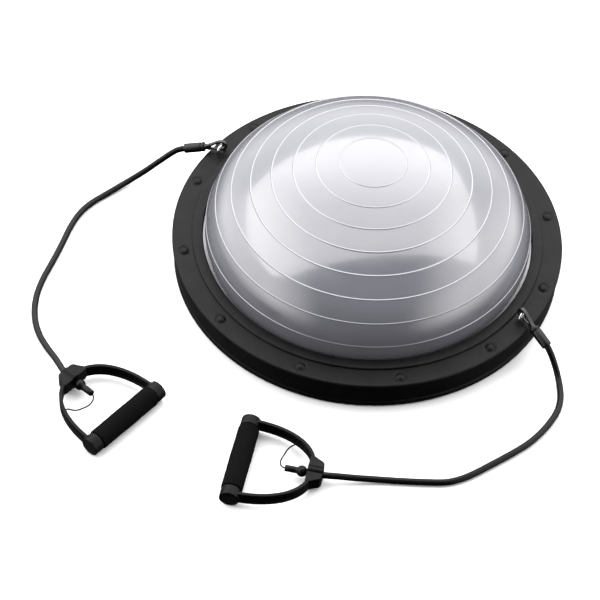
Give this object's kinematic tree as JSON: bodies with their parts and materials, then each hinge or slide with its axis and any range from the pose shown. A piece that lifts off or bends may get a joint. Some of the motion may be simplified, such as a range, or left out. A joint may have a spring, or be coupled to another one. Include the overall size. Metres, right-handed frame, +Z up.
{
  "type": "balance dome trainer",
  "caption": "Air-filled half dome on a round base with a clamp ring, and two resistance cords that hook to its rim and end in D handles.",
  "frame": {"origin": "on the floor under the middle of the round base, in the plane of the rubber feet", "axes": "+Z up through the top of the dome, +X through the right staple, handles towards -Y"},
  "size_m": [0.7962, 0.8361, 0.2075],
  "materials": {
    "shell_black": "satin",
    "dome_vinyl": "gloss",
    "chrome": "polished",
    "zinc_steel": "satin",
    "rubber": "matte",
    "latex": "gloss",
    "hook_black": "satin",
    "sleeve_black": "satin",
    "handle_nylon": "satin",
    "foam": "matte",
    "tube_grey": "satin",
    "braid": "matte"
  },
  "bodies": {
    "root": {"base_pan": "shell_black", "foot_pads": "rubber", "clamp_ring": "shell_black", "ring_screws": "zinc_steel", "bladder_floor": "dome_vinyl", "valve_seat": "rubber", "staple_right": "chrome", "staple_left": "chrome", "staple_washers": "zinc_steel", "staple_nuts": "zinc_steel", "cord_right": "latex", "cord_left": "latex"},
    "dome": {"dome_skin": "dome_vinyl"},
    "plug": {"air_plug": "rubber"},
    "hook_right": {"hook_right": "hook_black", "gate_pin_right": "zinc_steel", "gate_spring_right": "zinc_steel", "sleeve_right": "sleeve_black"},
    "gate_right": {"gate_right": "hook_black"},
    "handle_right": {"frame_right": "handle_nylon", "end_caps_right": "handle_nylon", "stopper_right": "tube_grey", "cord_tail_right": "latex", "tether_right": "braid"},
    "grip_right": {"grip_tube_right": "tube_grey", "grip_foam_right": "foam"},
    "hook_left": {"hook_left": "hook_black", "gate_pin_left": "zinc_steel", "gate_spring_left": "zinc_steel", "sleeve_left": "sleeve_black"},
    "gate_left": {"gate_left": "hook_black"},
    "handle_left": {"frame_left": "handle_nylon", "end_caps_left": "handle_nylon", "stopper_left": "tube_grey", "cord_tail_left": "latex", "tether_left": "braid"},
    "grip_left": {"grip_tube_left": "tube_grey", "grip_foam_left": "foam"}
  },
  "joints": [
    {"name": "dome_press", "type": "slide", "parent": "root", "child": "dome", "axis": [0, 0, -1], "range_m": [0, 0.06], "stiffness_N_per_m": 12000, "springref_m": -0.005, "deforming": ["dome_skin"]},
    {"name": "plug_pull", "type": "slide", "parent": "root", "child": "plug", "axis": [0, 0, -1], "range_m": [0, 0.03]},
    {"name": "hook_swing_right", "type": "hinge", "parent": "root", "child": "hook_right", "pos_m": [0.275, 0, 0.065], "axis": [-0.2924, -0.9563, 0], "range_deg": [0, 50]},
    {"name": "gate_open_right", "type": "hinge", "parent": "hook_right", "child": "gate_right", "pos_m": [0.29337, -0.00562, 0.05599], "axis": [0.2924, 0.9563, 0], "range_deg": [0, 20], "stiffness_Nm_per_rad": 0.02, "springref_deg": -17.19},
    {"name": "handle_pull_right", "type": "slide", "parent": "root", "child": "handle_right", "axis": [0, -0.3, 0.9539], "range_m": [0, 0.35], "stiffness_N_per_m": 100, "deforming": ["cord_right"]},
    {"name": "grip_spin_right", "type": "hinge", "parent": "handle_right", "child": "grip_right", "pos_m": [0.088, -0.43, 0.0155], "axis": [-0.4067, 0.9135, 0], "continuous": true},
    {"name": "hook_swing_left", "type": "hinge", "parent": "root", "child": "hook_left", "pos_m": [-0.275, 0, 0.065], "axis": [-0.4695, 0.8829, 0], "range_deg": [0, 50]},
    {"name": "gate_open_left", "type": "hinge", "parent": "hook_left", "child": "gate_left", "pos_m": [-0.29196, -0.00902, 0.05599], "axis": [0.4695, -0.8829, 0], "range_deg": [0, 20], "stiffness_Nm_per_rad": 0.02, "springref_deg": -17.19},
    {"name": "handle_pull_left", "type": "slide", "parent": "root", "child": "handle_left", "axis": [0, -0.3, 0.9539], "range_m": [0, 0.35], "stiffness_N_per_m": 100, "deforming": ["cord_left"]},
    {"name": "grip_spin_left", "type": "hinge", "parent": "handle_left", "child": "grip_left", "pos_m": [-0.0857, -0.4721, 0.0155], "axis": [-0.0872, -0.9962, 0], "continuous": true}
  ]
}
